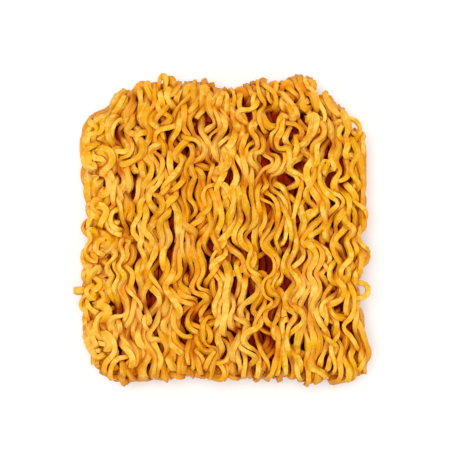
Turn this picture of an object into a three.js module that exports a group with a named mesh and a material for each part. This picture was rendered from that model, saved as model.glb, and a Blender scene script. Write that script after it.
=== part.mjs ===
// A dried instant noodle cake: one block of waved strands, folded in two layers and pressed in a mould.
// It lies flat. The strands run along Y, +Z is up, and the origin is at the middle of its base.
// The block is one closed solid out to its uneven outline, with the strand bundles as relief.
import * as THREE from "three";
import { mergeVertices } from "three/addons/utils/BufferGeometryUtils.js";

// Driving dimensions, in millimetres.
const THICKNESS = 24;
const DRAFT = 1.6; // how much narrower the base is than the top, on each side
const EDGE_ROUNDING = 2.6; // how far the top and bottom edges are pulled in
const RIM_DROP = 1.6; // how far the top falls away at its rim
const BASE_LIFT = 1.5; // how far the base rises at its rim
const FLAT_BASE = 0.72; // the part of the half width over which the base is flat
const CORNER_SHARPNESS = 26; // the exponent that joins the walls: higher is sharper

// The plan is a soft polygon. Each wall is a line at a distance from the middle,
// and it faces a direction in degrees, counted from +X towards +Y.
const WALLS = [
  { facing: 0, distance: 48.6 }, // right side
  { facing: 38, distance: 58.2 }, // cut corner, back right
  { facing: 90, distance: 50.2 }, // back end
  { facing: 132, distance: 57.6 }, // cut corner, back left
  { facing: 180, distance: 47.2 }, // left side
  { facing: 209, distance: 58.6 }, // cut corner, front left
  { facing: 270, distance: 51.8 }, // front end
  { facing: 334, distance: 64.5 }, // full corner, front right
];

// Lobes where loops of strands stand out of the rim, and notches where they are drawn in.
const LOBES = [
  { facing: 3, out: 0.8, spread: 7 },
  { facing: 34, out: 1.2, spread: 4 },
  { facing: 49, out: -3, spread: 4 },
  { facing: 61, out: 0.8, spread: 4 },
  { facing: 88, out: -3, spread: 7 },
  { facing: 105, out: -1.5, spread: 3 },
  { facing: 112, out: 1.4, spread: 4 },
  { facing: 136, out: -1.6, spread: 4 },
  { facing: 174, out: -1.4, spread: 8 },
  { facing: 203, out: 1.8, spread: 4 },
  { facing: 231, out: 2, spread: 6 },
  { facing: 258, out: -1.1, spread: 3 },
  { facing: 318, out: 2, spread: 6 },
  { facing: 329, out: -4, spread: 4 },
  { facing: 336, out: 1.3, spread: 4 },
];

// Relief of the strand bundles.
const BUNDLE_PITCH = 8.4;
const BUNDLE_DEPTH = 0.55;
const MEANDER = 2.4; // how far a bundle swings to each side
const MEANDER_LENGTH = 17;
const MEANDER_DRIFT = 1.3; // how far neighbouring bundles fall out of step, in radians
const DRIFT_LENGTH = 57;
const SWELL_DEPTH = 0.45; // broad unevenness of the top
const SWELL_LENGTH = 46;
const RIM_RIPPLE = 0.45; // loops of strands along the side
const RIM_RIPPLES = 36; // how many go round the block
const SEAM_DEPTH = 1.1; // groove round the side, where the two folded layers meet
const SEAM_SPREAD = 0.22; // its half width, as a part of half the thickness

// Mesh resolution. It is finer across the bundles than along them.
const STEPS_ACROSS = 48;
const STEPS_ALONG = 34;
const STEPS_UP = 8;

const NOODLE_COLOUR = 0xdf9a2e;
const DEGREE = Math.PI / 180;

// A smooth bump: 1 at zero distance, and next to nothing beyond twice the spread.
function bump(distance, spread) {
  return Math.exp(-((distance / spread) ** 2));
}

function smoothstep(low, high, value) {
  return THREE.MathUtils.smoothstep(value, low, high);
}

// The angle from one direction to another, in degrees, at most 180.
function turnBetween(angle, facing) {
  return Math.abs(THREE.MathUtils.euclideanModulo(angle - facing + 180, 360) - 180);
}

// Distance from the middle to the outline in a direction, for the walls and their lobes.
function outlineRadius(angle) {
  let sum = 0;
  for (const wall of WALLS) {
    const slope = Math.cos((angle - wall.facing) * DEGREE);
    sum += Math.max(0, slope / wall.distance) ** CORNER_SHARPNESS;
  }
  let radius = sum ** (-1 / CORNER_SHARPNESS);
  for (const lobe of LOBES) {
    radius += lobe.out * bump(turnBetween(angle, lobe.facing), lobe.spread);
  }
  return radius;
}

// How far the side stands out at a height from -1, the base, to 1, the top.
function sideOffset(angle, height) {
  const ripple = RIM_RIPPLE * Math.sin(RIM_RIPPLES * angle * DEGREE + Math.PI * height);
  const seam = SEAM_DEPTH * bump(height, SEAM_SPREAD);
  const rounding = EDGE_ROUNDING * height ** 6;
  const draft = DRAFT * (1 - height) * 0.5;
  return ripple - seam - rounding - draft;
}

// Height of the bundles above or below a face's mean level.
function bundleRelief(x, y) {
  const drift = MEANDER_DRIFT * Math.sin((2 * Math.PI * (x + 0.4 * y)) / DRIFT_LENGTH);
  const swing = MEANDER * Math.sin((2 * Math.PI * y) / MEANDER_LENGTH + drift);
  const bundle = BUNDLE_DEPTH * Math.cos((2 * Math.PI * (x + swing)) / BUNDLE_PITCH);
  const swell = SWELL_DEPTH * Math.sin((2 * Math.PI * (x - 0.6 * y)) / SWELL_LENGTH);
  return bundle + swell;
}

// Moves a point of the cube from -1 to 1 to its place on the cake.
function placePoint(point) {
  const { x: across, y: along, z: height } = point;
  const angle = Math.atan2(along, across) / DEGREE;
  const reach = Math.max(Math.abs(across), Math.abs(along));
  const rim = reach * (outlineRadius(angle) + reach ** 4 * sideOffset(angle, height));
  const x = rim * Math.cos(angle * DEGREE);
  const y = rim * Math.sin(angle * DEGREE);
  const top = bundleRelief(x, y) - RIM_DROP * reach ** 8;
  const base = BASE_LIFT * smoothstep(FLAT_BASE, 1, reach);
  const level = (1 + height) * 0.5;
  const z = THREE.MathUtils.lerp(base, THICKNESS + top, level);
  return new THREE.Vector3(x, y, z);
}

// Puts the origin at the middle of the base, and the highest point at the full thickness.
function settle(geometry) {
  geometry.computeBoundingBox();
  const { min, max } = geometry.boundingBox;
  geometry.translate(-(min.x + max.x) / 2, -(min.y + max.y) / 2, 0);
  geometry.scale(1, 1, THICKNESS / max.z);
}

function noodleCakeGeometry() {
  const cube = new THREE.BoxGeometry(2, 2, 2, STEPS_ACROSS, STEPS_ALONG, STEPS_UP);
  cube.deleteAttribute("normal");
  cube.deleteAttribute("uv");
  const geometry = mergeVertices(cube);
  const positions = geometry.getAttribute("position");
  const point = new THREE.Vector3();
  for (let i = 0; i < positions.count; i++) {
    point.fromBufferAttribute(positions, i);
    const placed = placePoint(point);
    positions.setXYZ(i, placed.x, placed.y, placed.z);
  }
  settle(geometry);
  geometry.computeVertexNormals();
  return geometry;
}

function noodleCake() {
  const material = new THREE.MeshStandardMaterial({
    color: NOODLE_COLOUR,
    roughness: 0.55,
    metalness: 0,
  });
  const mesh = new THREE.Mesh(noodleCakeGeometry(), material);
  mesh.name = "noodle_cake";
  return mesh;
}

const part = new THREE.Group();
part.add(noodleCake());

export default part;
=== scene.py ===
"""The looks of a dried instant noodle cake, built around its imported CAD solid.

Strands are laid out as a noodle sheet is: ribbons of waved strands that run along Y, fold over at the
front end and run back underneath. A short relaxation then presses them into the CAD solid's shape, as
the mould does, and each strand is swept as a tube. Sizes are in millimetres until the meshes are made.
"""
import math
from dataclasses import dataclass

import bpy
import numpy as np
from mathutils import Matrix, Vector


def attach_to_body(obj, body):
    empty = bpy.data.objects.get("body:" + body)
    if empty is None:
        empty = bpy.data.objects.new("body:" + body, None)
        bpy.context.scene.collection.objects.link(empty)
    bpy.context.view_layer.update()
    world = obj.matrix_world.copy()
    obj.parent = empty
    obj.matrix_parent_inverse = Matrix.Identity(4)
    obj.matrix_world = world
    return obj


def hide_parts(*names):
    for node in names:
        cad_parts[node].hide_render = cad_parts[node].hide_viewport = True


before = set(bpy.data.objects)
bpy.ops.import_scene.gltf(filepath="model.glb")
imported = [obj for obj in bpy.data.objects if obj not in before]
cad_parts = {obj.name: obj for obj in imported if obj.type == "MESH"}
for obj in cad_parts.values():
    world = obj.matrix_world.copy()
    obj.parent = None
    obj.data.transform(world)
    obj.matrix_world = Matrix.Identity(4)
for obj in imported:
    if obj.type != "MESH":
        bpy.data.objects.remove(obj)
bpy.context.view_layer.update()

NODE = "noodle_cake"
MM = 0.001
SEED = 3

# One strand: a rounded rectangle, as the cutter makes it.
STRAND_WIDTH = 1.8
STRAND_THICKNESS = 1.5
SIZE_SCATTER = 0.12  # from strand to strand
SIZE_SWELL = 0.14  # along one strand
CONTACT = 1.66  # touching strands are pushed towards this distance between their middles
TIGHTEST_BEND = 1.2  # the smallest radius that a strand springs back to

# The two folded sheets, the outer one first.
SHEET_LAYERS = ("outer_sheet", "inner_sheet")
SHEET_DEPTHS = (2.6, 7.6)  # how far a sheet lies under the top face, and over the base
FOLD_REACH = (5.5, 3.7)  # how far its fold bulges at the front end
RIBBONS = (14, 14)  # how many lie side by side
RIBBON_STRANDS = (5, 4, 3, 2)  # dealt out to the ribbons in turn, and then shuffled
RIBBON_GAP = 0.6  # between ribbons, in strands
STRAND_PITCH = 1.72  # between the strands of a ribbon
CORNER_Y = 42.0  # past this the sheet keeps its width
SHEET_MARGIN = 1.5  # from the rim
TRACK_STEP = 0.4  # spacing of the points of a strand while it is laid out

# The waves to the sides.
WAVE_LENGTH = 16.5
WAVE_SWING = 1.3
WAVE_KINK = 0.93  # near 0 is a plain sine wave, towards 1 it is a zigzag
WAVE_SLIP = 2.6  # how far the waves slip out of step over a sheet, in radians
WAVE_SCATTER = 0.6  # and from ribbon to ribbon
SWING_CHANGE = 0.6  # how much more some places swing than others
OVERHANG = 0.1  # 1 and more makes the waves double back
OVERHANG_CHANGE = 0.45  # how much more they do so in some places
MEANDER = 0.8  # how far a whole ribbon strays
MEANDER_LENGTH = 26
OWN_SLIP_LENGTH = 45  # the waves and dives of a single ribbon slip over this length

# The dives, which are waves up and down.
DIVE_LENGTH = 12.5
DIVE_DEPTH = 1.6
DIVE_LEAN = 0.25  # how far the crests lean over
DIVE_SLIP = 2.0  # as for the waves
DIVE_SCATTER = 1.6
STRAND_DIVE_SCATTER = 1.7  # the same between the strands of one ribbon

# How the strands of a ribbon part from each other.
STRAND_RISE = 0.9
RISE_LENGTH = 10
STRAND_DRIFT = 1.3
DRIFT_LENGTH = 13.0
TILT = 0.5  # how far a ribbon leans to one side
TILT_LENGTH = 34
PINCH = 0.45  # how much ribbons widen and narrow
TANGLING = 0.9  # how much some places are more tangled than others
FANNING = 0.8  # 1 keeps the strands level with each other through a bend

# The long sides, where the waves are tighter. The left side is more curled than the right.
EDGE_CURL = {-1: 1.0, 1: 0.45}
EDGE_START = 0.5  # the part of the half width from which the curl grows
EDGE_GROWTH = 0.4  # and the part over which it does
EDGE_SWING = 0.2  # what a full curl adds to the swing
EDGE_OVERHANG = 0.75  # and to the overhang
EDGE_SHORTENING = 0.62  # and the part that it takes off the waves' length

# The two ends.
BACK_CURL = 3.6  # radius at which a sheet turns down at the back
BACK_GAP = 2.6  # how far the sheets stay back from the rim at the back end
BACK_SCATTER = 1.2  # from ribbon to ribbon
FRONT_GAP = 0.9  # the same at the front end
END_SCATTER = 1.2  # how unevenly the cut ends lie
END_CALM = 0.65  # how much of the wave is lost where a sheet turns over an end

# Ribbons that stand on edge along the long sides.
SIDE_HEIGHTS = (5.0, 12.0, 19.0)  # of their middles over the base
HEIGHT_SCATTER = 0.5
SIDE_STRANDS = 3  # in each
SIDE_CURL = 0.6  # against the full curl of an edge
SIDE_GAP = 1.6  # from the rim
SIDE_REACH = 45.5  # how far they run to the front and to the back
SIDE_SCATTER = 4.0  # how unevenly they end

# Hairpins along the back end: how many, how far to each side, their widths and their legs' lengths.
TEETH = 13
TEETH_SPAN = 35.0
TOOTH_WIDTHS = (1.6, 2.3)
TOOTH_LENGTHS = (6.0, 12.0)
TOOTH_DEPTHS = (1.6, 4.5)  # under the top face
TOOTH_OUT = (-1.3, 0.1)  # how far they stand past the rim
TOOTH_FAN = 0.35  # how many degrees they turn outwards for each millimetre from the middle
TOOTH_SCATTER = 7  # in degrees

# Any hairpin.
LEG_SPLAY = 0.25  # how much further its legs are apart at their ends
LEG_DROP = 5  # how far they go down into the heap

# Single loops and ends that stand out of the rim: where and which way, in degrees from +X towards +Y,
# how wide, how far past the wall, and how far the other strands stay back there.
STRAYS = (
    {"at": -23.5, "towards": -2, "width": 5.6, "out": 1.1, "clear": 4.8},  # open loop, right side
    {"at": 39, "towards": 42, "width": 7.0, "out": 0.4, "clear": 4.2},  # open loop, cut corner
    {"at": 111.8, "towards": 90, "width": 2.0, "out": 0.5, "clear": 1.2},  # peak of the back end
    {"at": 203.5, "towards": 180, "width": 0, "out": 2.0, "clear": 2.0},  # cut end, left side
)
STRAY_LENGTH = 9.0  # of their legs
STRAY_DEPTH = 2.6  # under the top face
CLEAR_SPREAD = 5.0  # over how many degrees to each side the others stay back

# Pressing into the mould.
LINK = 1.25  # spacing of the points of a strand while it is pressed
PRESS_STEPS = 150
CLOSING_PART = 0.6  # the part of the steps in which the mould closes
PAIR_STEPS = 6  # after so many steps, touching strands are looked for again
PAIR_MARGIN = 0.9  # and how much further than contact
START_HEIGHT = 1.18  # the open mould's height against the closed
START_WIDTH = 1.02
BEND_MEMORY = 0.4  # how strongly a strand springs back to its bends
WALL_GAP = 0.7  # from the mould's wall to the middle of a strand
WALL_PLAY = 0.8  # how unevenly the strands meet the wall
END_PLAY = 1.5  # how much further out a cut end may lie
FACE_GAP = 0.95  # from the top face and the base to the middle of a strand
EDGE_ROUNDING = 1.5  # how far the strands are drawn in along the top and bottom edges
ROUNDING_START = 0.72  # the part of the half height at which that begins

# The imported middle, which strands are pushed out of: its half size and the lumps on it.
CORE_HALF = (38.0, 41.0, 2.4)
CORE_LUMPS = 0.04
CORE_RIDGES = 0.35
CORE_STEPS = 48

# Tubes.
RING_STEP = 1.0
RING_SIDES = 8
SQUARENESS = 11.0  # 2 is an ellipse
PORES = 0.02  # how uneven the size is from ring to ring
BLISTERS = 0.04  # how rough the fried surface is
BASE_GAP = 0.02  # the lowest strands are pressed flat at this height
TWIST = 0.4  # how far the section turns to each side, in radians
TWIST_LENGTH = 34
CAP_SIZE = 0.78  # a cut end's cap, against the section
CAP_BULGE = 0.18

# Painted shade that depends on the place of a face, and the orange-brown tint near the rim.
CREVICE_REACH = 0.95  # how far in front of a face its crowding is looked up
CREVICE_RANGE = (0.2, 0.85)  # the crowding from which the painted shade of a gap starts, and where it is darkest
CREVICE_TINT = 0.78  # the part of the colour that the painted shade of the darkest gap takes over
SECOND_RANGE = (1.5, 4.2)  # how deep the strands under the first ones lie, which get a painted shade
DEPTH_RANGE = (3.0, 5.6)  # and the ones under those, which get a dark painted shade
RIM_BROWN_DEPTH = 6.0  # how far in from the rim the orange-brown tint goes, and how far under a face it is full

# Studio, in metres. The cake is as large in the picture as in the photograph.
LENS = 85
VIEW_WIDTH = 0.150
VIEW_MIDDLE = (0.0005, 0.0013)
FOCUS_HEIGHT = 0.8  # the part of the cake's height at which the view has that width
FLOOR_HALF = 3.0
LAMP_PLACE = (-0.06, 0.06, 1.0)
LAMP_SIZE = 0.5
LAMP_POWER = 7.8
SKY_STRENGTH = 0.5


# ---- helpers

def wander(rng, along, length):
    """A smooth random curve over distances, about -1 to 1, with waves of about that length."""
    total = np.zeros(len(along))
    for _ in range(3):
        wave = length * rng.uniform(0.7, 1.6)
        total += np.sin(2 * math.pi * (along / wave + rng.random()))
    return total / 1.8


def smoothstep(value, low, high):
    part = np.clip((value - low) / (high - low), 0, 1)
    return part * part * (3 - 2 * part)


def evenly_spaced(path, step):
    """The same path with its points a step apart."""
    lengths = np.linalg.norm(np.diff(path, axis=0), axis=1)
    marks = np.concatenate([[0], np.cumsum(lengths)])
    count = max(4, round(marks[-1] / step))
    at = np.linspace(0, marks[-1], count + 1)
    return np.stack([np.interp(at, marks, path[:, axis]) for axis in range(3)], axis=1)


# ---- the mould

class Mould:
    """The CAD solid's outline, as the distance from the middle in each direction."""

    BINS = 120
    LOW_PART = 0.35  # of the height, for the lower outline
    HIGH_PART = 0.6  # and from there up for the upper one
    SEARCH = np.arange(20, 60, 0.25)  # distances at which a wall is looked for
    LEAST_WIDTH = 20.0  # taken where none is found
    LEAST_LENGTH = 25.0

    def __init__(self, points):
        self.height = points[:, 2].max()
        self.low = self.ring(points[points[:, 2] < self.LOW_PART * self.height])
        self.high = self.ring(points[points[:, 2] > self.HIGH_PART * self.height])
        self.rows = np.arange(-52.0, 52.5, 1.0)
        self.widths = {side: self.scan_widths(side) for side in (-1, 1)}

    def bin_of(self, x, y):
        """A point's direction from the middle, counted in bins."""
        return (np.arctan2(y, x) / (2 * math.pi) + 0.5) * self.BINS

    def ring(self, points):
        """The outline's distance from the middle in each bin. Empty bins take it from their neighbours."""
        radius = np.hypot(points[:, 0], points[:, 1])
        bins = self.bin_of(points[:, 0], points[:, 1]).astype(int) % self.BINS
        furthest = np.zeros(self.BINS)
        np.maximum.at(furthest, bins, radius)
        filled = furthest > 0.6 * furthest.max()
        every = np.arange(self.BINS)
        return np.interp(every, every[filled], furthest[filled], period=self.BINS)

    def reach(self, x, y, z):
        """The outline's distance from the middle, in the direction of a point and at its height."""
        at = self.bin_of(x, y) - 0.5
        before = np.floor(at).astype(int)
        part = at - before
        rings = []
        for ring in (self.low, self.high):
            rings.append(ring[before % self.BINS] * (1 - part) + ring[(before + 1) % self.BINS] * part)
        level = np.clip(z / self.height, 0, 1)
        return rings[0] * (1 - level) + rings[1] * level

    def inside_top(self, x, y):
        """Which points lie inside the outline of the top."""
        return np.hypot(x, y) <= self.reach(x, y, np.full(len(x), self.height))

    def scan_widths(self, side):
        return np.array([self.width_at(side * self.SEARCH, y) for y in self.rows])

    def width_at(self, x, y):
        inside = self.inside_top(x, np.full(len(x), y))
        return np.abs(x[inside]).max() if inside.any() else self.LEAST_WIDTH

    def half_width(self, y, side):
        return np.interp(y, self.rows, self.widths[side])

    def half_length(self, x, side):
        inside = self.inside_top(np.full(len(self.SEARCH), x), side * self.SEARCH)
        return self.SEARCH[inside].max() if inside.any() else self.LEAST_LENGTH


def cad_points(name):
    """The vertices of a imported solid, in millimetres."""
    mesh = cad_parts[name].data
    points = np.empty(len(mesh.vertices) * 3, np.float32)
    mesh.vertices.foreach_get("co", points)
    return points.reshape(-1, 3).astype(float) / MM


# ---- routes of the strands

@dataclass
class Strand:
    path: np.ndarray
    layer: str
    out: float = None  # how far it stands past the mould's wall, if that is set


class FoldedTrack:
    """The middle line of a folded sheet in Y and Z.

    It climbs the back end, runs along the top, folds over the front and comes back along the base.
    """

    def __init__(self, back, front, depth, height, fold_reach):
        middle, top = height / 2, height - depth
        radius = top - middle
        curl = min(BACK_CURL, 0.9 * radius)
        quarter = np.linspace(0, math.pi / 2, 20)[1:-1]
        turn = np.linspace(0, math.pi, 60)[1:-1]
        climb = np.linspace(middle, top - curl, 12)
        run = np.linspace(back - curl, front + fold_reach, 120)
        arc_y = back - curl + curl * np.cos(quarter)
        arc_z = top - curl + curl * np.sin(quarter)
        fold_y = front + fold_reach - fold_reach * np.sin(turn) ** 0.8
        y = [np.full(12, back), arc_y, run, fold_y, run[::-1], arc_y[::-1], np.full(12, back)]
        upper_z = [climb, arc_z, np.full(120, top)]
        lower_z = [height - part[::-1] for part in upper_z[::-1]]
        self.y = np.concatenate(y)
        self.z = np.concatenate([*upper_z, middle + radius * np.cos(turn), *lower_z])
        lengths = np.hypot(np.diff(self.y), np.diff(self.z))
        self.marks = np.concatenate([[0], np.cumsum(lengths)])
        self.length = self.marks[-1]

    def at(self, along, off):
        """Y and Z at distances along the track, moved off it, outwards."""
        reach = 0.8
        ahead, behind = along + reach, along - reach
        dy = np.interp(ahead, self.marks, self.y) - np.interp(behind, self.marks, self.y)
        dz = np.interp(ahead, self.marks, self.z) - np.interp(behind, self.marks, self.z)
        size = np.hypot(dy, dz) + 1e-9
        y = np.interp(along, self.marks, self.y) + off * dz / size
        z = np.interp(along, self.marks, self.z) - off * dy / size
        return y, z

    def turning(self, along):
        """1 where the track turns over an end, 0 along its level runs."""
        y = np.interp(along, self.marks, self.y)
        near_back = smoothstep(y, self.y.max() - 9, self.y.max() - 2)
        near_front = smoothstep(-y, -self.y.min() - 9, -self.y.min() - 2)
        return np.maximum(near_back, near_front)


class Field:
    """A smooth random surface over X and the distance along a sheet, about -1 to 1."""

    WAVES = 8
    SCALE = 0.35  # brings the sum of the waves to that range

    def __init__(self, rng, x_length, along_length):
        heading = rng.uniform(0, 2 * math.pi, self.WAVES)
        stretch = rng.uniform(0.6, 1.4, self.WAVES)
        self.x_rate = 2 * math.pi * np.cos(heading) * stretch / x_length
        self.along_rate = 2 * math.pi * np.sin(heading) * stretch / along_length
        self.start = rng.uniform(0, 2 * math.pi, self.WAVES)

    def at(self, x, along):
        turns = self.start + x * self.x_rate + along[:, None] * self.along_rate
        return self.SCALE * np.sin(turns).sum(axis=1)


class Weave:
    """What the ribbons of one sheet have in common: how they wave, dive and pinch."""

    def __init__(self, rng):
        self.phase = Field(rng, 60, 60)
        self.swing = Field(rng, 26, 40)
        self.overhang = Field(rng, 20, 30)
        self.dive = Field(rng, 50, 60)
        self.lean = Field(rng, 20, 40)
        self.pinch = Field(rng, 16, 22)
        self.tangle = Field(rng, 34, 30)

    def wave_phase(self, rng, x, along, length):
        phase = 2 * math.pi * along / length + WAVE_SLIP * self.phase.at(x, along)
        phase = phase + rng.normal(0, WAVE_SCATTER)
        return phase + 0.5 * wander(rng, along, OWN_SLIP_LENGTH)

    def dive_phase(self, rng, x, along):
        phase = 2 * math.pi * along / DIVE_LENGTH + DIVE_SLIP * self.dive.at(x, along)
        return phase + (rng.normal(0, DIVE_SCATTER) + 0.7 * wander(rng, along, OWN_SLIP_LENGTH))

    def swing_at(self, x, along, edge, calm):
        """How far the waves go to the sides."""
        change = np.clip(1 + SWING_CHANGE * self.swing.at(x, along), 0.2, 2)
        return (WAVE_SWING + EDGE_SWING * edge) * change * (1 - calm)

    def overhang_at(self, x, along, edge, calm):
        overhang = OVERHANG + EDGE_OVERHANG * edge + OVERHANG_CHANGE * self.overhang.at(x, along)
        return np.clip(overhang, 0, 1.5) * (1 - calm)

    def lean_at(self, x, along):
        """How far the dives lean over, in millimetres."""
        change = np.clip(1 + self.lean.at(x, along), 0, 2.2)
        return DIVE_LEAN * DIVE_LENGTH / (2 * math.pi) * change

    def ribbon(self, rng, x, along, count, edge, calm=0):
        """For each strand of a ribbon: its place along the track, its swing to the side and its rise."""
        length = WAVE_LENGTH * (1 - EDGE_SHORTENING * edge)
        phase = self.wave_phase(rng, x, along, length)
        dive = self.dive_phase(rng, x, along)
        overhang = self.overhang_at(x, along, edge, calm)
        doubling = overhang * length / (4 * math.pi) * np.sin(2 * phase)
        forward = along - doubling + self.lean_at(x, along) * np.cos(dive)
        zigzag = np.arcsin(WAVE_KINK * np.sin(phase)) / math.asin(WAVE_KINK)
        meander = MEANDER * wander(rng, along, MEANDER_LENGTH)
        sideways = self.swing_at(x, along, edge, calm) * zigzag + meander
        return self.strands_of(rng, x, along, count, forward, sideways, dive)

    def strands_of(self, rng, x, along, count, forward, sideways, dive):
        """Lays the strands of a ribbon side by side along its middle line."""
        step_forward, step_sideways = np.gradient(forward), np.gradient(sideways)
        size = np.hypot(step_forward, step_sideways) + 1e-9
        tilt = TILT * wander(rng, along, TILT_LENGTH)
        pinch = 1 + PINCH * self.pinch.at(x, along)
        tangle = np.clip(1 + TANGLING * self.tangle.at(x, along), 0.15, 2.2)
        strands = []
        for number in range(count):
            place = (number - (count - 1) / 2) * STRAND_PITCH
            offset = place * pinch + tangle * STRAND_DRIFT * wander(rng, along, DRIFT_LENGTH)
            rise = DIVE_DEPTH * np.sin(dive + rng.normal(0, STRAND_DIVE_SCATTER))
            strands.append((
                forward - FANNING * offset * step_sideways / size,
                sideways + offset * step_forward / size,
                rise + place * tilt + tangle * STRAND_RISE * wander(rng, along, RISE_LENGTH),
            ))
        return strands


def folded_sheet(rng, mould, sheet):
    """The strands of one sheet, which passes over the top and back along the base."""
    strands = []
    widest = {side: float(mould.half_width(0, side)) for side in (-1, 1)}
    weave = Weave(rng)
    counts = rng.permutation(np.resize(RIBBON_STRANDS, RIBBONS[sheet]))
    room = counts + RIBBON_GAP
    lanes = (np.cumsum(room) - room / 2) / room.sum() * 2 - 1
    for lane, count in zip(lanes, counts):
        side = 1 if lane > 0 else -1
        end_x = 0.97 * abs(lane) * side * widest[side]
        back = mould.half_length(end_x, 1) - BACK_GAP + rng.normal(0, BACK_SCATTER)
        front = FRONT_GAP - mould.half_length(end_x, -1)
        track = FoldedTrack(back, front, SHEET_DEPTHS[sheet], mould.height, FOLD_REACH[sheet])
        along = np.arange(0, track.length, TRACK_STEP)
        calm = END_CALM * track.turning(along)
        edge = EDGE_CURL[side] * np.clip((abs(lane) - EDGE_START) / EDGE_GROWTH, 0, 1)
        first = TRACK_STEP + END_SCATTER * rng.random()
        last = track.length - TRACK_STEP - END_SCATTER * rng.random()
        for forward, sideways, rise in weave.ribbon(rng, end_x, along, count, edge, calm):
            y, z = track.at(forward, rise)
            level_y = np.clip(y, -CORNER_Y, CORNER_Y)
            # The ribbons follow the outline's width about half way.
            width = 0.55 * mould.half_width(level_y, side) + 0.45 * widest[side] - SHEET_MARGIN
            path = np.stack([abs(lane) * side * width + sideways, y, z], axis=1)
            scatter = rng.uniform(0, 1, 2)
            kept = (along >= first + scatter[0]) & (along <= last + scatter[1])
            strands.append(Strand(evenly_spaced(path[kept], LINK), SHEET_LAYERS[sheet]))
    return strands


def side_strands(rng, mould, side):
    """Strands that wave up and down along a long side."""
    strands = []
    weave = Weave(rng)
    along = np.arange(-SIDE_REACH, SIDE_REACH, TRACK_STEP)
    for height in SIDE_HEIGHTS:
        height += rng.normal(0, HEIGHT_SCATTER)
        for forward, sideways, rise in weave.ribbon(rng, height, along, SIDE_STRANDS, SIDE_CURL):
            rise = 0.4 * rise
            x = side * (mould.half_width(forward, side) - SIDE_GAP - 0.6 * np.abs(rise))
            kept = np.abs(along) < SIDE_REACH - rng.uniform(0, SIDE_SCATTER)
            path = np.stack([x, forward, height + 0.9 * sideways], axis=1)
            strands.append(Strand(evenly_spaced(path[kept], LINK), "edge_strands"))
    return strands


def hairpin(rng, mould, at, towards, width, out, length=STRAY_LENGTH, depth=STRAY_DEPTH):
    """A strand that comes out at the rim, turns and goes back in. Without a width it ends there.

    It comes out at one direction from the middle and heads towards another, both in degrees.
    """
    at, towards = math.radians(at), math.radians(towards)
    height = mould.height - depth
    inwards = np.arange(length, 0, -TRACK_STEP)
    turn = np.linspace(0, math.pi, 16)
    half = width / 2
    spread = half * (1 + LEG_SPLAY * inwards / length) + 0.5 * wander(rng, inwards, 12)
    reach = np.concatenate([-inwards, half * np.sin(turn), -inwards[::-1]]) - half
    aside = np.concatenate([spread, half * np.cos(turn), -spread[::-1]])
    if not width:
        reach, aside = -inwards, spread
    rim = mould.reach(math.cos(at), math.sin(at), height) - WALL_GAP + out
    x = rim * math.cos(at) + reach * math.cos(towards) - aside * math.sin(towards)
    y = rim * math.sin(at) + reach * math.sin(towards) + aside * math.cos(towards)
    drop = LEG_DROP * smoothstep(-reach, 0.35 * length, length)
    z = height - drop + 0.4 * wander(rng, reach, 8)
    path = np.stack([x, y, z], axis=1)
    return Strand(evenly_spaced(path, LINK), "edge_strands", out)


def rim_loops(rng, mould):
    """The loops that stray out of the rim, and the hairpins of the back end."""
    loops = []
    for stray in STRAYS:
        loops.append(hairpin(rng, mould, stray["at"], stray["towards"], stray["width"], stray["out"]))
    for x in np.linspace(-TEETH_SPAN, TEETH_SPAN, TEETH):
        x += rng.uniform(-1.2, 1.2)
        loops.append(hairpin(
            rng, mould,
            at=math.degrees(math.atan2(mould.half_length(x, 1), x)),
            towards=90 + rng.normal(0, TOOTH_SCATTER) - TOOTH_FAN * x,
            width=rng.uniform(*TOOTH_WIDTHS),
            out=rng.uniform(*TOOTH_OUT),
            length=rng.uniform(*TOOTH_LENGTHS),
            depth=rng.uniform(*TOOTH_DEPTHS),
        ))
    return loops


# ---- pressing

def touching_pairs(points, owner, reach):
    """Pairs of points closer than reach, without near neighbours on the same strand."""
    cell = np.floor(points / reach).astype(np.int64)
    cell -= cell.min(axis=0) - 1
    span = cell.max(axis=0) + 2
    key = (cell[:, 0] * span[1] + cell[:, 1]) * span[2] + cell[:, 2]
    order = np.argsort(key, kind="stable")
    sorted_key = key[order]
    rank = np.arange(len(points))
    shifts = [(dx, dy, dz) for dx in (-1, 0, 1) for dy in (-1, 0, 1) for dz in (-1, 0, 1)]
    firsts, seconds = [], []
    for shift in shifts:
        if shift < (0, 0, 0):
            continue
        wanted = sorted_key + (shift[0] * span[1] + shift[1]) * span[2] + shift[2]
        start = np.searchsorted(sorted_key, wanted, "left")
        stop = np.searchsorted(sorted_key, wanted, "right")
        if shift == (0, 0, 0):
            start = np.minimum(rank + 1, stop)
        count = stop - start
        before = np.concatenate([[0], np.cumsum(count)[:-1]])
        firsts.append(order[np.repeat(rank, count)])
        seconds.append(order[np.arange(count.sum()) + np.repeat(start - before, count)])
    first, second = np.concatenate(firsts), np.concatenate(seconds)
    gap = points[first] - points[second]
    near = (gap * gap).sum(axis=1) < reach * reach
    near &= (owner[first] != owner[second]) | (np.abs(first - second) > 3)
    return first[near], second[near]


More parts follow.
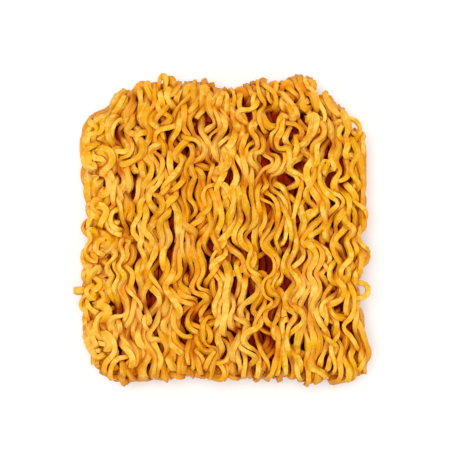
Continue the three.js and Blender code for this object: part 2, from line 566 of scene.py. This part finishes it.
class Heap:
    """All strands as chains of points, which push each other apart while the mould closes on them.

    The pushing is soft, so where the heap is crowded strands end up closer than CONTACT.
    """

    def __init__(self, strands, mould, rng):
        self.mould = mould
        self.points = np.concatenate([strand.path for strand in strands])
        self.owner = np.repeat(np.arange(len(strands)), [len(strand.path) for strand in strands])
        same = self.owner[1:] == self.owner[:-1]
        links = np.where(same)[0]
        self.links = [links[links % 2 == parity] for parity in (0, 1)]
        self.lengths = [self.link_lengths(group) for group in self.links]
        self.middles = np.where(same[1:] & same[:-1])[0] + 1
        bends = self.bends()
        size = np.linalg.norm(bends, axis=1, keepdims=True)
        self.rest_bends = bends * np.minimum(1, LINK**2 / TIGHTEST_BEND / np.maximum(size, 1e-9))
        self.wall_play = np.concatenate([self.play_of(strand, rng) for strand in strands])

    def link_lengths(self, group):
        return np.linalg.norm(self.points[group + 1] - self.points[group], axis=1)

    def bends(self):
        m = self.middles
        return self.points[m - 1] - 2 * self.points[m] + self.points[m + 1]

    @staticmethod
    def play_of(strand, rng):
        """How far past the wall each point may lie: more for some strands, and at the cut ends."""
        if strand.out is not None:
            return np.full(len(strand.path), strand.out)
        place = np.arange(len(strand.path))
        from_end = np.minimum(place, place[::-1]) * LINK
        own = np.clip(rng.normal(0, WALL_PLAY), -1.3, 1.6) + 0.5 * wander(rng, place * LINK, 20)
        facing = np.degrees(np.arctan2(strand.path[:, 1], strand.path[:, 0]))
        for stray in STRAYS:
            turn = (facing - stray["at"] + 180) % 360 - 180
            own -= stray["clear"] * np.exp(-((turn / CLEAR_SPREAD) ** 2))
        return own + END_PLAY * np.clip(1 - from_end / 5, 0, 1)

    def push_apart(self, pairs):
        """Moves touching strands apart, softly where many touch."""
        first, second = pairs
        gap = self.points[first] - self.points[second]
        distance = np.sqrt((gap * gap).sum(axis=1)) + 1e-9
        hit = distance < CONTACT
        first, second, gap, distance = first[hit], second[hit], gap[hit], distance[hit]
        push = gap * (0.5 * (CONTACT - distance) / distance)[:, None]
        total = len(self.points)
        shift = np.empty_like(self.points)
        for axis in range(3):
            shift[:, axis] = np.bincount(first, push[:, axis], total)
            shift[:, axis] -= np.bincount(second, push[:, axis], total)
        contacts = np.bincount(first, minlength=total) + np.bincount(second, minlength=total)
        self.points += shift / np.maximum(1, 0.6 * contacts)[:, None]

    def keep_bends(self):
        m = self.middles
        error = BEND_MEMORY * (self.bends() - self.rest_bends)
        self.points[m] += 0.5 * error
        self.points[m - 1] -= 0.25 * error
        self.points[m + 1] -= 0.25 * error

    def keep_lengths(self):
        for group, rest in zip(self.links, self.lengths):
            link = self.points[group + 1] - self.points[group]
            length = np.sqrt((link * link).sum(axis=1)) + 1e-9
            pull = link * (0.5 * (length - rest) / length)[:, None]
            self.points[group] += pull
            self.points[group + 1] -= pull

    def press(self, height_scale, width_scale):
        """Keeps points between the two faces, and moves them half way back inside the wall."""
        middle = self.mould.height / 2
        room = (middle - FACE_GAP) * height_scale
        x, y, z = self.points.T
        z = np.clip(z, middle - room, middle + room)
        level = (z - middle) / height_scale + middle
        limit = (self.mould.reach(x, y, level) - WALL_GAP + self.wall_play) * width_scale
        from_middle = np.abs(z - middle) / (middle * height_scale)
        near_face = np.clip((from_middle - ROUNDING_START) / (1 - ROUNDING_START), 0, 1)
        limit = limit - EDGE_ROUNDING * near_face**2
        radius = np.hypot(x, y)
        inwards = np.where(radius > limit, 0.5 + 0.5 * limit / np.maximum(radius, 1e-6), 1)
        self.points = np.stack([x * inwards, y * inwards, z], axis=1)

    def clear_core(self):
        """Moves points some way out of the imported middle, upwards or downwards."""
        centre = np.array([0, 0, self.mould.height / 2])
        place = (self.points - centre) / (np.array(CORE_HALF) + CONTACT / 2)
        inside = (place**6).sum(axis=1) < 1
        room = np.clip(1 - place[:, 0] ** 6 - place[:, 1] ** 6, 0, 1) ** (1 / 6)
        out = centre[2] + np.where(place[:, 2] >= 0, 1, -1) * room * (CORE_HALF[2] + CONTACT / 2)
        self.points[inside, 2] = 0.7 * self.points[inside, 2] + 0.3 * out[inside]

    def relax(self):
        """Closes the mould step by step, with the strands settling in between."""
        for step in range(PRESS_STEPS):
            progress = min(1, step / (CLOSING_PART * PRESS_STEPS))
            if step % PAIR_STEPS == 0:
                pairs = touching_pairs(self.points, self.owner, CONTACT + PAIR_MARGIN)
            self.push_apart(pairs)
            self.keep_bends()
            self.keep_lengths()
            self.keep_lengths()
            self.press(
                START_HEIGHT + (1 - START_HEIGHT) * progress,
                START_WIDTH + (1 - START_WIDTH) * progress,
            )
            self.clear_core()

    def paths(self):
        return [self.points[self.owner == number] for number in range(self.owner[-1] + 1)]


# ---- tubes

def smoothed(path, rounds):
    for _ in range(rounds):
        path = path.copy()
        path[1:-1] += 0.25 * (path[:-2] - 2 * path[1:-1] + path[2:])
    return path


def unit(vectors):
    return vectors / np.maximum(np.linalg.norm(vectors, axis=-1, keepdims=True), 1e-9)


def side_vectors(path):
    """For each point the strand's two section directions, carried along without twisting."""
    tangents = unit(np.gradient(path, axis=0))
    across = np.empty_like(path)
    start = np.cross(tangents[0], (0, 0, 1))
    if np.linalg.norm(start) < 0.1:
        start = np.cross(tangents[0], (1, 0, 0))
    across[0] = unit(start)
    for i in range(1, len(path)):
        carried = across[i - 1] - tangents[i] * np.dot(across[i - 1], tangents[i])
        across[i] = carried / np.linalg.norm(carried)
    return across, np.cross(tangents, across)


def section():
    """The corners of the strand's section, a rounded square, one unit to each side."""
    turn = (np.arange(RING_SIDES) + 0.5) * 2 * math.pi / RING_SIDES
    power = 2 / SQUARENESS
    x = np.sign(np.cos(turn)) * np.abs(np.cos(turn)) ** power
    y = np.sign(np.sin(turn)) * np.abs(np.sin(turn)) ** power
    return x, y


def twisted_sides(path, rng):
    """The two section directions, turned a little to and fro along the strand."""
    across, up = side_vectors(path)
    along = np.arange(len(path)) * RING_STEP
    twist = TWIST * wander(rng, along, TWIST_LENGTH) + rng.uniform(-TWIST, TWIST)
    cosine, sine = np.cos(twist)[:, None], np.sin(twist)[:, None]
    return across * cosine + up * sine, up * cosine - across * sine


def tube_rings(path, rng):
    """The section's corners at each point of a strand, with a smaller ring to cap each cut end."""
    along = np.arange(len(path)) * RING_STEP
    across, up = twisted_sides(path, rng)
    size = rng.normal(1, SIZE_SCATTER) + SIZE_SWELL * wander(rng, along, 9)
    size += PORES * rng.standard_normal(len(path))
    half_width = STRAND_WIDTH / 2 * size
    half_thickness = STRAND_THICKNESS / 2 * (size + SIZE_SWELL * wander(rng, along, 14))
    x, y = section()
    rings = (
        path[:, None]
        + across[:, None] * (half_width[:, None] * x)[:, :, None]
        + up[:, None] * (half_thickness[:, None] * y)[:, :, None]
        + BLISTERS * rng.standard_normal((len(path), RING_SIDES, 3))
    )
    tangents = unit(np.gradient(path, axis=0))
    rings[:, :, 2] = np.maximum(rings[:, :, 2], BASE_GAP)
    first = path[0] - CAP_BULGE * tangents[0] + CAP_SIZE * (rings[0] - path[0])
    last = path[-1] + CAP_BULGE * tangents[-1] + CAP_SIZE * (rings[-1] - path[-1])
    return np.concatenate([first[None], rings, last[None]])


def ring_quads(index):
    """Quads between neighbouring rings, given the numbers of their vertices."""
    here, there = index[:-1], index[1:]
    quads = np.stack([here, np.roll(here, -1, 1), np.roll(there, -1, 1), there], axis=-1)
    return quads.reshape(-1, 4)


class StrandMesh:
    """Collects the tubes of one piece."""

    def __init__(self):
        self.vertices, self.faces, self.marks, self.shades = [], [], [], []
        self.count = 0
        self.length = 0.0

    def add(self, path, rng):
        path = smoothed(evenly_spaced(smoothed(path, 1), RING_STEP), 1)
        rings = tube_rings(path, rng)
        self.add_rings(rings)
        self.shades.append(np.full(rings.shape[0] * RING_SIDES, rng.random()))

    def add_rings(self, rings):
        number, sides = rings.shape[:2]
        index = self.count + np.arange(number * sides).reshape(number, sides)
        self.vertices.append(rings.reshape(-1, 3))
        self.faces.append((ring_quads(index), index[0][::-1], index[-1]))
        self.marks.append((self.length, number))
        self.count += number * sides
        self.length += (number + 2) * RING_STEP

    def build(self, name):
        vertices = np.concatenate(self.vertices) * MM
        quads = np.concatenate([quads for quads, _, _ in self.faces])
        caps = np.stack([cap for _, *ends in self.faces for cap in ends])
        mesh = bpy.data.meshes.new(name)
        corners = np.concatenate([quads.ravel(), caps.ravel()])
        starts = np.concatenate([
            np.arange(len(quads)) * 4,
            quads.size + np.arange(len(caps)) * RING_SIDES,
        ])
        mesh.vertices.add(len(vertices))
        mesh.vertices.foreach_set("co", vertices.ravel().astype(np.float32))
        mesh.loops.add(len(corners))
        mesh.loops.foreach_set("vertex_index", corners.astype(np.int32))
        mesh.polygons.add(len(starts))
        mesh.polygons.foreach_set("loop_start", starts.astype(np.int32))
        mesh.update(calc_edges=True)
        mesh.validate()
        mesh.shade_smooth()
        self.sharpen_corners(mesh)
        self.add_shade(mesh)
        self.add_bake_map(mesh, len(quads), len(caps))
        piece = bpy.data.objects.new(name, mesh)
        bpy.context.scene.collection.objects.link(piece)
        return piece

    @staticmethod
    def sharpen_corners(mesh):
        """Keeps the lengthwise edges of the strands crisp, as the cutter leaves them."""
        ends = np.empty(len(mesh.edges) * 2, np.int32)
        mesh.edges.foreach_get("vertices", ends)
        lengthwise = np.abs(np.diff(ends.reshape(-1, 2), axis=1))[:, 0] == RING_SIDES
        sharp = mesh.attributes.new("sharp_edge", "BOOLEAN", "EDGE")
        sharp.data.foreach_set("value", lengthwise)

    def add_shade(self, mesh):
        """A number from 0 to 1 that is the strand's own."""
        attribute = mesh.attributes.new("shade", "FLOAT", "POINT")
        attribute.data.foreach_set("value", np.concatenate(self.shades).astype(np.float32))

    def add_bake_map(self, mesh, quad_count, cap_count):
        """Lays every strand out as one long strip, cut into rows that fill the square."""
        girth = math.pi * (STRAND_WIDTH + STRAND_THICKNESS) / 2
        row_height = girth * 1.12
        row_length = math.sqrt(self.length * row_height)
        rows = math.ceil(self.length / row_length) + 1
        place = np.concatenate([start + np.arange(n - 1) * RING_STEP for start, n in self.marks])
        place = np.repeat(place, RING_SIDES)
        row = np.floor(place / row_length)
        left = (place - row * row_length) / (row_length + 2 * RING_STEP)
        right = left + RING_STEP / (row_length + 2 * RING_STEP)
        side = np.tile(np.arange(RING_SIDES), len(place) // RING_SIDES)
        low = (row + 0.05 + 0.9 * side / RING_SIDES) / rows
        high = (row + 0.05 + 0.9 * (side + 1) / RING_SIDES) / rows
        quads = np.stack([left, low, left, high, right, high, right, low], axis=1).reshape(-1, 4, 2)
        turn = (np.arange(RING_SIDES) + 0.5) * 2 * math.pi / RING_SIDES
        slot_width = 1 / cap_count
        centre_x = (np.arange(cap_count) + 0.5) * slot_width
        cap_x = centre_x[:, None] + 0.4 * slot_width * np.cos(turn)
        cap_y = (rows - 0.5 + 0.4 * np.sin(turn))[None] / rows + 0 * cap_x
        caps = np.stack([cap_x, cap_y], axis=-1)
        layer = mesh.uv_layers.new(name="OFBake")
        both = np.concatenate([quads.ravel(), caps.ravel()])
        layer.data.foreach_set("uv", both.astype(np.float32))


# ---- materials

def linear(red, green, blue):
    """A colour given as display values from 0 to 255, as the shader wants it."""
    return tuple(((value / 255 + 0.055) / 1.055) ** 2.4 for value in (red, green, blue)) + (1,)


GOLD = linear(237, 173, 7)
PALE = linear(254, 211, 102)
ORANGE = linear(231, 149, 1)
# More orange-brown near the rim, on the side wall.
RIM_BROWN = linear(220, 130, 8)
# Painted shade: the strands under the first ones, the narrow gaps between strands, the strands deeper
# down, and the dark middle.
SECOND_LAYER_SHADE = linear(219, 124, 10)
CREVICE_SHADE = linear(198, 78, 1)
DEEP_SHADE = linear(140, 27, 4)
CORE_PAINTED_SHADE_DARK = linear(40, 7, 2)
CORE_PAINTED_SHADE_LIGHT = linear(74, 15, 4)


class Nodes:
    """Short calls for building a material's node tree."""

    def __init__(self, name):
        self.material = bpy.data.materials.new(name)
        self.material.use_nodes = True
        self.tree = self.material.node_tree
        self.shader = self.tree.nodes["Principled BSDF"]
        self.coordinates = self.add("ShaderNodeTexCoord").outputs["Object"]

    def add(self, kind, **values):
        node = self.tree.nodes.new(kind)
        for key, value in values.items():
            setattr(node, key, value)
        return node

    def link(self, source, target):
        self.tree.links.new(source, target)

    def noise(self, size, detail=2.0, roughness=0.5):
        """Noise whose spots are about this size, in millimetres."""
        node = self.add("ShaderNodeTexNoise")
        node.inputs["Scale"].default_value = 1 / (size * MM)
        node.inputs["Detail"].default_value = detail
        node.inputs["Roughness"].default_value = roughness
        self.link(self.coordinates, node.inputs["Vector"])
        return node.outputs["Fac"]

    def attribute(self, name):
        return self.add("ShaderNodeAttribute", attribute_name=name).outputs["Fac"]

    def math(self, operation, first, second):
        node = self.add("ShaderNodeMath", operation=operation)
        for socket, value in zip(node.inputs, (first, second)):
            if isinstance(value, (int, float)):
                socket.default_value = value
            else:
                self.link(value, socket)
        return node.outputs[0]

    def spread(self, value, low, high, to_low=0.0, to_high=1.0):
        """Maps low to high smoothly onto another range."""
        node = self.add("ShaderNodeMapRange", interpolation_type="SMOOTHSTEP")
        self.link(value, node.inputs["Value"])
        limits = {"From Min": low, "From Max": high, "To Min": to_low, "To Max": to_high}
        for name, number in limits.items():
            node.inputs[name].default_value = number
        return node.outputs["Result"]

    def mix(self, factor, first, second):
        node = self.add("ShaderNodeMix", data_type="RGBA")
        for name, value in {"Factor": factor, "A": first, "B": second}.items():
            socket = node.inputs[name]
            if isinstance(value, (int, float, tuple)):
                socket.default_value = value
            else:
                self.link(value, socket)
        return node.outputs["Result"]

    def bump(self, height, strength, distance):
        node = self.add("ShaderNodeBump")
        node.inputs["Strength"].default_value = strength
        node.inputs["Distance"].default_value = distance * MM
        self.link(height, node.inputs["Height"])
        return node.outputs["Normal"]


def noodle_material():
    """Golden with pale and orange patches and browner at the rim, with painted shade: darker in narrow
    gaps and the deeper a strand lies.
    """
    nodes = Nodes("fried_noodle")
    strand = nodes.attribute("shade")
    patches = nodes.spread(nodes.noise(14.0), 0.4, 0.66)
    sunny = nodes.spread(nodes.noise(17.0, 1.0), 0.5, 0.66)
    blotches = nodes.spread(nodes.noise(2.2, 3.0, 0.6), 0.42, 0.62)
    paleness = nodes.math("MULTIPLY", nodes.spread(strand, 0.0, 0.8, 0.35, 1.0), blotches)
    crevice_shade = nodes.attribute("crevice_shade")
    colour = nodes.mix(nodes.math("MULTIPLY", patches, 0.6), GOLD, ORANGE)
    colour = nodes.mix(nodes.spread(strand, 0.0, 0.4, 0.5, 0.0), colour, ORANGE)
    colour = nodes.mix(nodes.math("MULTIPLY", sunny, 0.38), colour, PALE)
    colour = nodes.mix(nodes.math("MULTIPLY", paleness, 0.7), colour, PALE)
    # More orange-brown near the rim, on the side wall away from the top face and the base.
    colour = nodes.mix(nodes.math("MULTIPLY", nodes.attribute("rim_brown"), 0.75), colour, RIM_BROWN)
    # Painted shade: the strands under the first ones are darker orange.
    colour = nodes.mix(nodes.math("MULTIPLY", nodes.attribute("second"), 0.8), colour, SECOND_LAYER_SHADE)
    # Painted shade: browner in the narrow gaps between strands.
    colour = nodes.mix(nodes.math("MULTIPLY", crevice_shade, CREVICE_TINT), colour, CREVICE_SHADE)
    # Painted shade: the strands deeper down are dark maroon.
    colour = nodes.mix(nodes.attribute("depth"), colour, DEEP_SHADE)
    nodes.link(colour, nodes.shader.inputs["Base Color"])
    pores = nodes.noise(0.55, 4.0, 0.65)
    nodes.link(nodes.spread(pores, 0.3, 0.7, 0.52, 0.38), nodes.shader.inputs["Roughness"])
    nodes.link(nodes.bump(pores, 0.8, 0.3), nodes.shader.inputs["Normal"])
    shine = nodes.spread(nodes.attribute("second"), 0.0, 1.0, 0.2, 0.05)
    nodes.link(shine, nodes.shader.inputs["Specular IOR Level"])
    return nodes.material


def core_material():
    # Painted shade: the middle is dark maroon, as the shade deep in the gaps; the ridges are bumps.
    nodes = Nodes("packed_middle_painted_shade")
    ridges = nodes.noise(2.4, 3.0)
    nodes.link(nodes.mix(ridges, CORE_PAINTED_SHADE_DARK, CORE_PAINTED_SHADE_LIGHT), nodes.shader.inputs["Base Color"])
    nodes.link(nodes.bump(ridges, 0.8, 1.0), nodes.shader.inputs["Normal"])
    nodes.shader.inputs["Roughness"].default_value = 0.9
    nodes.shader.inputs["Specular IOR Level"].default_value = 0.1
    return nodes.material


# ---- pieces

def attach(piece, material):
    piece.data.materials.append(material)
    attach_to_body(piece, "root")
    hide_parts(NODE)


class Crowding:
    """How full of strands the space is, on a grid of small cells."""

    CELL = 0.5
    REACH = 0.85  # how far a strand fills the space round its middle
    MARGIN = 6.0  # of empty space round the heap

    def __init__(self, strands):
        points = np.concatenate([evenly_spaced(strand, 0.5) for strand in strands])
        self.origin = points.min(axis=0) - self.MARGIN
        shape = ((np.ptp(points, axis=0) + 2 * self.MARGIN) / self.CELL).astype(int) + 1
        filled = np.zeros(shape)
        steps = np.arange(-2, 3) * self.CELL
        for shift in np.stack(np.meshgrid(steps, steps, steps), axis=-1).reshape(-1, 3):
            if np.linalg.norm(shift) < self.REACH:
                cell = ((points + shift - self.origin) / self.CELL).astype(int)
                filled[tuple(cell.T)] = 1
        self.grid = self.blurred(filled, 3)

    @staticmethod
    def blurred(grid, width):
        """The mean over a cube that is so many cells wide."""
        for axis in range(3):
            grid = np.moveaxis(grid, axis, 0)
            before = np.zeros((width // 2 + 1, *grid.shape[1:]))
            after = np.zeros((width // 2, *grid.shape[1:]))
            padded = np.concatenate([before, grid, after])
            total = padded.cumsum(axis=0)
            grid = np.moveaxis((total[width:] - total[:-width]) / width, 0, axis)
        return grid

    def at(self, points):
        """The grid's value at points in between its cells' middles."""
        place = (points - self.origin) / self.CELL - 0.5
        cell = np.floor(place).astype(int)
        part = place - cell
        value = np.zeros(len(points))
        for corner in np.ndindex(2, 2, 2):
            weight = np.where(corner, part, 1 - part).prod(axis=1)
            value += weight * self.grid[tuple((cell + corner).T)]
        return value


def read_vectors(items, name):
    values = np.empty(len(items) * 3, np.float32)
    items.foreach_get(name, values)
    return values.reshape(-1, 3).astype(float)


def read_numbers(items, name):
    values = np.empty(len(items), np.int32)
    items.foreach_get(name, values)
    return values


def add_painted_shade_and_rim_tint(piece, mould, crowding):
    """Painted shade where the gap before a face is narrow and where it lies deep, and how near it is to
    the rim, which is tinted orange-brown.
    """
    mesh = piece.data
    points = read_vectors(mesh.vertices, "co") / MM
    corner_points = points[read_numbers(mesh.loops, "vertex_index")]
    corner_normals = np.repeat(
        read_vectors(mesh.polygons, "normal"), read_numbers(mesh.polygons, "loop_total"), axis=0
    )
    ahead = corner_points + CREVICE_REACH * corner_normals
    x, y, z = points.T
    from_side = np.maximum(0, mould.reach(x, y, z) - np.hypot(x, y))
    from_face = np.minimum(z, mould.height - z)
    inset = np.minimum(from_side, from_face)
    rim_tint = 1 - smoothstep(from_side, 0.5, RIM_BROWN_DEPTH)
    rim_tint = rim_tint * smoothstep(from_face, 1.5, RIM_BROWN_DEPTH)
    # Painted shade: darker in narrow gaps between strands and on strands that lie deeper; the rim tint is
    # orange-brown near the wall.
    shades = (
        ("crevice_shade", "CORNER", smoothstep(crowding.at(ahead), *CREVICE_RANGE)),
        ("second", "POINT", smoothstep(inset, *SECOND_RANGE)),
        ("depth", "POINT", smoothstep(inset, *DEPTH_RANGE)),
        ("rim_brown", "POINT", rim_tint),
    )
    for name, domain, values in shades:
        attribute = mesh.attributes.new(name, "FLOAT", domain)
        attribute.data.foreach_set("value", values.astype(np.float32))


def noodle_pieces(mould):
    """Lays out, presses and sweeps all strands. Each layer becomes a left and a right piece."""
    rng = np.random.default_rng(SEED)
    sheets = [folded_sheet(rng, mould, sheet) for sheet in range(len(SHEET_DEPTHS))]
    edges = side_strands(rng, mould, -1) + side_strands(rng, mould, 1)
    strands = [*sheets[0], *sheets[1], *edges, *rim_loops(rng, mould)]
    heap = Heap(strands, mould, rng)
    heap.relax()
    paths = heap.paths()
    groups = {}
    for strand, path in zip(strands, paths):
        side = "left" if path[:, 0].mean() < 0 else "right"
        groups.setdefault(strand.layer + "_" + side, StrandMesh()).add(path, rng)
    material = noodle_material()
    crowding = Crowding(paths)
    for name, group in sorted(groups.items()):
        piece = group.build(name)
        add_painted_shade_and_rim_tint(piece, mould, crowding)
        attach(piece, material)


def boxed(value):
    """A sine or cosine made flatter, which turns a ball into a rounded box."""
    return np.sign(value) * np.abs(value) ** (1 / 3)


def core_rings(mould):
    """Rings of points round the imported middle, from its base to its top."""
    around = np.linspace(0, 2 * math.pi, 2 * CORE_STEPS, endpoint=False)
    rise = np.linspace(-math.pi / 2, math.pi / 2, CORE_STEPS + 1)[1:-1]
    u, v = np.meshgrid(around, rise)
    lump = 1 + CORE_LUMPS * np.sin(9 * u + 3 * v) * np.cos(7 * v)
    x = CORE_HALF[0] * boxed(np.cos(u) * np.cos(v)) * lump
    y = CORE_HALF[1] * boxed(np.sin(u) * np.cos(v)) * lump
    ridges = CORE_RIDGES * np.sin(x * 1.7 + np.sin(y * 0.5))
    z = mould.height / 2 + CORE_HALF[2] * boxed(np.sin(v)) + ridges
    return np.stack([x, y, z], axis=-1)


def packed_core(mould):
    """The middle, painted dark as the shade deep in the gaps between strands, where alone it is seen."""
    rings = core_rings(mould)
    index = np.arange(rings.shape[0] * rings.shape[1]).reshape(rings.shape[:2])
    caps = [index[0][::-1].tolist(), index[-1].tolist()]
    mesh = bpy.data.meshes.new("packed_core")
    mesh.from_pydata((rings.reshape(-1, 3) * MM).tolist(), [], ring_quads(index).tolist() + caps)
    mesh.shade_smooth()
    piece = bpy.data.objects.new("packed_core", mesh)
    bpy.context.scene.collection.objects.link(piece)
    attach(piece, core_material())


# ---- studio

def floor():
    corners = [(-1, -1), (1, -1), (1, 1), (-1, 1)]
    mesh = bpy.data.meshes.new("floor")
    mesh.from_pydata([(x * FLOOR_HALF, y * FLOOR_HALF, 0) for x, y in corners], [], [(0, 1, 2, 3)])
    plane = bpy.data.objects.new("floor", mesh)
    bpy.context.scene.collection.objects.link(plane)
    nodes = Nodes("pale_floor")
    pale = nodes.mix(nodes.noise(60.0), (0.9, 0.9, 0.9, 1), (0.93, 0.93, 0.93, 1))
    nodes.link(pale, nodes.shader.inputs["Base Color"])
    nodes.shader.inputs["Roughness"].default_value = 0.9
    mesh.materials.append(nodes.material)


def overhead_lamp():
    """A soft round lamp that is aimed at the origin."""
    data = bpy.data.lights.new("overhead", "AREA")
    data.shape = "DISK"
    data.size = LAMP_SIZE
    data.energy = LAMP_POWER
    light = bpy.data.objects.new("overhead", data)
    light.location = LAMP_PLACE
    light.rotation_mode = "QUATERNION"
    light.rotation_quaternion = (-Vector(LAMP_PLACE)).to_track_quat("-Z", "Y")
    bpy.context.scene.collection.objects.link(light)


def sky():
    world = bpy.data.worlds.new("soft_white")
    world.use_nodes = True
    background = world.node_tree.nodes["Background"]
    background.inputs["Color"].default_value = (1, 1, 1, 1)
    background.inputs["Strength"].default_value = SKY_STRENGTH
    bpy.context.scene.world = world


def camera(mould):
    """Straight above the cake."""
    data = bpy.data.cameras.new("camera")
    data.lens = LENS
    distance = VIEW_WIDTH * data.lens / data.sensor_width
    eye = bpy.data.objects.new("camera", data)
    eye.location = (*VIEW_MIDDLE, FOCUS_HEIGHT * mould.height * MM + distance)
    bpy.context.scene.collection.objects.link(eye)
    bpy.context.scene.camera = eye


bpy.context.scene.view_settings.view_transform = "Standard"
mould = Mould(cad_points(NODE))
camera(mould)
noodle_pieces(mould)
packed_core(mould)
floor()
sky()
overhead_lamp()
